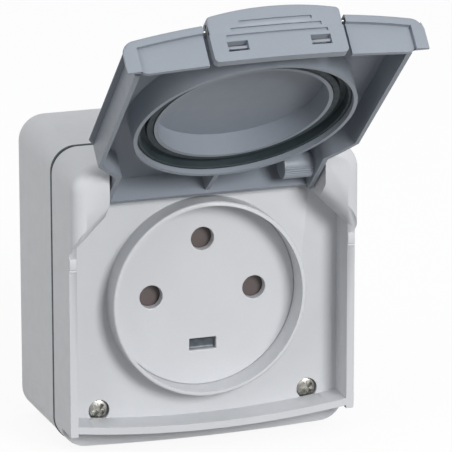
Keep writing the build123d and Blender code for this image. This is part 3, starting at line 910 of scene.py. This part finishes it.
@dataclass
class LugRidges:
    """Fine ridges round the lower front of the lid's hinge lug."""

    left: float = 22.1
    length: float = 10.8
    radius: float = 3.86
    bead: float = 0.32
    count: int = 7
    start_deg: float = 2.0
    sweep_deg: float = 66.0
    sides: int = 12

    def tree(self) -> ShapeGraph:
        """Build the tree of bars along an arc, the bars upright."""
        graph = ShapeGraph(
            "lug ridges", radius=self.radius * MM, bead=self.bead * MM, length=self.length * MM,
            start=math.radians(self.start_deg), sweep=math.radians(self.sweep_deg), count=self.count,
        )
        given = graph.given
        sockets = {"Resolution": given["count"], "Radius": given["radius"], "Start Angle": given["start"],
                   "Sweep Angle": given["sweep"]}
        arc = graph.add("GeometryNodeCurveArc", sockets, mode="RADIUS").outputs["Curve"]
        bar = graph.barrel(given["bead"], given["length"], self.sides)
        graph.close(graph.add("GeometryNodeInstanceOnPoints", {"Points": arc, "Instance": bar}).outputs[0])
        return graph

    def dress(self, shop: Workshop) -> None:
        """Build the ridges and lay them on the lug."""
        piece = self.tree().grow("hinge_lug_ridges", shop.finish(Slot.LID))
        across = Matrix(((0, 0, 1, 0), (-1, 0, 0, 0), (0, -1, 0, 0), (0, 0, 0, 1)))
        middle = point(self.left + self.length / 2, HINGE_DEPTH, HINGE_HEIGHT)
        piece.data.transform(Matrix.Translation(middle) @ across)
        shop.mount(piece, Body.LID, Slot.LID)


@dataclass
class ReturnSpring:
    """Torsion spring of the shutter: a short coil with one straight leg."""

    depth: float = 34.3
    radius: float = 3.6
    wire: float = 0.28
    rise: float = 0.6
    turns: float = 1.5
    leg: float = 8.9
    steps: int = 40

    def tree(self) -> ShapeGraph:
        """Build the tree of the coil about Z with its leg along Y."""
        graph = ShapeGraph(
            "return spring", radius=self.radius * MM, wire=self.wire * MM, rise=self.rise * MM,
            turns=self.turns, leg=self.leg * MM,
        )
        given = graph.given
        coil = graph.spiral(given["radius"], given["rise"], given["turns"], self.steps)
        side = graph.calc("MULTIPLY", given["radius"], -1.0)
        near = graph.vector(side, 0.0, given["rise"])
        far = graph.vector(side, given["leg"], given["rise"])
        leg = graph.add("GeometryNodeCurvePrimitiveLine", {"Start": near, "End": far}).outputs[0]
        graph.close(graph.wire(graph.join(coil, leg), given["wire"]))
        return graph

    def dress(self, shop: Workshop) -> None:
        """Build the spring and put it in the solid's place."""
        piece = self.tree().grow("return_spring", shop.finish(Slot.STEEL))
        place = Matrix.Translation(point(0, self.depth, COLLAR_HEIGHT))
        piece.data.transform(place @ Matrix.Rotation(math.pi / 2, 4, "X"))
        shop.mount(piece, Body.HOUSING, Slot.STEEL, ("shutter_spring",))


@dataclass
class GrommetRings:
    """Raised rings on the grommet's dish, where it is cut open for a cable."""

    depth: float = 17.0
    low: float = -46.97
    outer: float = 8.0
    step: float = 1.15
    rise: float = 0.75
    bead: float = 0.28
    count: int = 4
    steps: int = 72

    def tree(self) -> ShapeGraph:
        """Build the tree of rings that shrink as they rise."""
        graph = ShapeGraph(
            "grommet rings", outer=self.outer * MM, step=self.step * MM, rise=self.rise * MM,
            bead=self.bead * MM, count=self.count,
        )
        given = graph.given
        sockets = {"Count": given["count"], "Offset": graph.vector(z=given["rise"])}
        stack = graph.add("GeometryNodeMeshLine", sockets).outputs[0]
        order = graph.add("GeometryNodeInputIndex").outputs[0]
        size = graph.calc("SUBTRACT", given["outer"], graph.calc("MULTIPLY", order, given["step"]))
        ring = graph.circle(1.0, self.steps)
        sockets = {"Points": stack, "Instance": ring, "Scale": graph.vector(size, size, size)}
        rings = graph.add("GeometryNodeInstanceOnPoints", sockets).outputs[0]
        real = graph.add("GeometryNodeRealizeInstances", {"Geometry": rings}).outputs[0]
        graph.close(graph.wire(real, given["bead"]))
        return graph

    def dress(self, shop: Workshop) -> None:
        """Build the rings and lay them in the dish."""
        piece = self.tree().grow("grommet_rings", shop.finish(Slot.GROMMET))
        piece.data.transform(Matrix.Translation(point(0, self.depth, self.low)))
        shop.mount(piece, Body.HOUSING, Slot.GROMMET)


@dataclass
class Fitting:
    """Small block with rounded edges, or several of them in one piece.

    Each block is a centre and its sides, in millimetres: across, forwards and up.
    """

    name: str
    body: Body
    slot: Slot
    blocks: list[tuple[Triple, Triple]]
    edge: float = 0.15
    segments: int = 2
    framed: float = 0.0
    sunk: float = 0.0
    turn: Matrix | None = None

    def build(self) -> bpy.types.Object:
        """Make the blocks, sink a framed field into their fronts where asked, and round their edges."""
        work = bmesh.new()
        for (x, depth, z), sides in self.blocks:
            size = Matrix.Diagonal((*[side * MM for side in sides], 1))
            place = Matrix.Translation(point(x, depth, z)) @ size
            made = bmesh.ops.create_cube(work, size=1.0, matrix=place)
            if self.framed:
                faces = {face for vert in made["verts"] for face in vert.link_faces}
                front = min(faces, key=lambda face: face.calc_center_median().y)
                bmesh.ops.inset_individual(work, faces=[front], thickness=self.framed * MM, depth=0.0)
                bmesh.ops.translate(work, verts=front.verts, vec=(0, self.sunk * MM, 0))
        bmesh.ops.recalc_face_normals(work, faces=work.faces)
        width = self.edge * MM
        bmesh.ops.bevel(
            work, geom=work.edges, offset=width, segments=self.segments, profile=0.5, affect="EDGES"
        )
        mesh = bpy.data.meshes.new(self.name)
        work.to_mesh(mesh)
        work.free()
        if self.turn:
            mesh.transform(self.turn)
        mesh.shade_smooth()
        mesh.set_sharp_from_angle(angle=math.radians(SMOOTH_DEG))
        return new_object(self.name, mesh)

    def dress(self, shop: Workshop) -> None:
        """Build the piece and put it on its body."""
        shop.mount(self.build(), self.body, self.slot)


@dataclass(frozen=True)
class Lamp:
    """Square soft lamp, with its place and side in metres and its power in watts."""

    name: str
    place: Triple
    side: float
    power: float

    def hang(self, aim: Vector) -> None:
        """Hang the lamp so that it faces the aim."""
        data = bpy.data.lights.new(self.name, "AREA")
        data.size = self.side
        data.energy = self.power
        lamp = bpy.data.objects.new(self.name, data)
        lamp.location = self.place
        lamp.rotation_euler = (aim - Vector(self.place)).to_track_quat("-Z", "Y").to_euler()
        bpy.context.scene.collection.objects.link(lamp)


@dataclass
class Studio:
    """Pale floor, soft lamps, plain world and the photograph's camera."""

    floor_height: float
    aim_mm: Triple = (7.28, -41.0, 18.95)
    camera_mm: Triple = (-403.7, -1278.9, 405.7)
    lens: float = 358.9
    sensor: float = 36.0
    far_clip: float = 50.0
    roll_deg: float = -0.08
    floor_radius: float = 6.0
    floor_sides: int = 96
    floor_cloud_mm: float = 300.0
    floor_pale: tuple[float, float] = (0.21, 0.25)
    floor_seen: float = 0.7
    floor_white: float = 0.9
    floor_roughness: float = 0.9
    sky_colour: Colour = (0.97, 0.985, 1.0, 1.0)
    sky_low: float = 0.14
    sky_high: float = 0.75
    sky_top: float = 0.8
    lamps: tuple[Lamp, ...] = (
        Lamp("key", (0.5, -1.6, 0.68), 0.6, 23.3),
        Lamp("fill", (-1.5, -0.7, 0.9), 1.2, 9.5),
    )

    def build(self) -> None:
        """Make the whole studio."""
        aim = Vector(self.aim_mm) * MM
        self.floor()
        self.world()
        for lamp in self.lamps:
            lamp.hang(aim)
        self.camera(aim)

    def floor(self) -> None:
        """Lay a wide pale floor that keeps a soft shadow."""
        work = bmesh.new()
        bmesh.ops.create_circle(work, cap_ends=True, segments=self.floor_sides, radius=self.floor_radius)
        mesh = bpy.data.meshes.new("floor")
        work.to_mesh(mesh)
        work.free()
        mesh.transform(Matrix.Translation((0, 0, self.floor_height)))
        piece = new_object("floor", mesh)
        graph = ShaderGraph("pale floor")
        glow = graph.add("ShaderNodeEmission", {"Color": WHITE, "Strength": 1.0}).outputs[0]
        seen = graph.seen_white()
        pale = graph.spread(graph.noise(self.floor_cloud_mm), *self.floor_pale)
        level = graph.calc("ADD", pale, graph.calc("MULTIPLY", seen, self.floor_seen))
        graph.dress(Base_Color=level, Roughness=self.floor_roughness)
        share = graph.calc("MULTIPLY", seen, self.floor_white)
        surface = graph.add("ShaderNodeMixShader", {0: share, 1: graph.shader.outputs["BSDF"], 2: glow})
        graph.feed(graph.output.inputs["Surface"], surface.outputs[0])
        mesh.materials.append(graph.material)
        piece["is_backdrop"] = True

    def world(self) -> None:
        """Light everything softly from above, and show white behind the object."""
        world = bpy.data.worlds.new("studio")
        bpy.context.scene.world = world
        world.use_nodes = True
        graph = Graph(world.node_tree)
        way = graph.add("ShaderNodeTexCoord").outputs["Generated"]
        height = graph.add("ShaderNodeSeparateXYZ", {0: way}).outputs["Z"]
        sockets = {"Value": height, "From Min": 0.0, "From Max": self.sky_top,
                   "To Min": self.sky_low, "To Max": self.sky_high}
        level = graph.add("ShaderNodeMapRange", sockets).outputs[0]
        soft = graph.add("ShaderNodeBackground", {"Color": self.sky_colour, "Strength": level}).outputs[0]
        white = graph.add("ShaderNodeBackground", {"Color": WHITE, "Strength": 1.0}).outputs[0]
        both = graph.add("ShaderNodeMixShader", {0: graph.seen_white(), 1: soft, 2: white})
        graph.add("ShaderNodeOutputWorld", {"Surface": both.outputs[0]})

    def camera(self, aim: Vector) -> None:
        """Set the camera where the photograph was taken from."""
        data = bpy.data.cameras.new("camera")
        data.lens = self.lens
        data.sensor_width = self.sensor
        data.clip_end = self.far_clip
        camera = bpy.data.objects.new("camera", data)
        place = Vector(self.camera_mm) * MM
        turn = (aim - place).to_track_quat("-Z", "Y").to_matrix().to_4x4()
        roll = Matrix.Rotation(math.radians(self.roll_deg), 4, "Z")
        camera.matrix_world = Matrix.Translation(place) @ turn @ roll
        bpy.context.scene.collection.objects.link(camera)
        bpy.context.scene.camera = camera


MOULDINGS = [
    Moulding("back_box", Body.HOUSING, Slot.HOUSING),
    Moulding("front_cover", Body.HOUSING, Slot.HOUSING),
    Moulding("socket_face", Body.HOUSING, Slot.HOUSING,
             RoundForm(UNTURNED, inner=28.2, outer=29.1, outwards=0.24)),
    Moulding("lid", Body.LID, Slot.LID, LidForm(opened())),
    Moulding("latch", Body.LATCH, Slot.LID, LatchForm(opened())),
    Moulding("box_seal", Body.HOUSING, Slot.SEAL, SealForm(UNTURNED)),
    Moulding("lid_seal", Body.LID, Slot.SEAL,
             RoundForm(opened(), inner=30.8, outer=32.3, front=47.5, backwards=1.6)),
    Moulding("latch_pin", Body.LID, Slot.STEEL, PinForm(opened())),
    Moulding("cable_grommet", Body.HOUSING, Slot.GROMMET),
]

SCREWS = [
    CrossScrews("cover_screws", [(-33.3, 38.6, -35.4), (33.3, 38.6, -35.4)],
                head=5.8, height=2.1, shank=3.0, length=17.0),
    CrossScrews("carrier_screws", [(16.97, 31.5, 15.57), (-16.97, 31.5, -18.37)],
                head=5.5, height=2.4, shank=3.0, length=26.9),
    CrossScrews("terminal_screws",
                [(-16.35, 15.5, 5.35), (0.0, 15.5, 22.25), (16.35, 15.5, 5.35), (0.0, 15.5, -11.05)],
                head=5.2, height=2.0, shank=3.4, length=4.95, facing=Facing.UP),
]

FITTINGS = [
    Fitting("earth_guard", Body.HOUSING, Slot.EARTH, [((0.0, 38.1, -17.8), (7.9, 2.2, 3.1))],
            framed=0.55, sunk=0.3),
    Fitting("rim_pads", Body.HOUSING, Slot.HOUSING,
            [((side * 43.89, 50.95, z), (2.2, 0.5, tall))
             for side in (-1, 1) for z, tall in ((14.6, 3.4), (12.4, 0.6))]),
    Fitting("window_bars", Body.LATCH, Slot.LID,
            [((side * 12.4, 46.5, -43.5), (6.2, 0.9, 0.8)) for side in (-1, 1)], turn=opened()),
]

KEPT = {
    Slot.STEEL: ("hinge_pin_left", "hinge_pin_right"),
    Slot.CARRIER: ("contact_carrier",),
    Slot.BRASS: ("phase_contact_left", "phase_contact_top", "phase_contact_right"),
    Slot.EARTH: ("earth_contact",),
    Slot.SHUTTER: ("shutter_disc",),
}


def main() -> None:
    """Build every piece in order, then the studio."""
    logging.basicConfig(level=logging.INFO, format="%(message)s")
    bpy.context.scene.view_settings.view_transform = "Standard"
    cad_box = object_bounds()
    shop = Workshop()
    for piece in [*MOULDINGS, *SCREWS, *FITTINGS, LugRidges(), ReturnSpring(), GrommetRings()]:
        piece.dress(shop)
    for slot, nodes in KEPT.items():
        for node in nodes:
            shop.paint(node, slot)
    Studio(floor_height=cad_box[0].z - FLOOR_GAP_MM * MM).build()


if __name__ == "__main__":
    main()
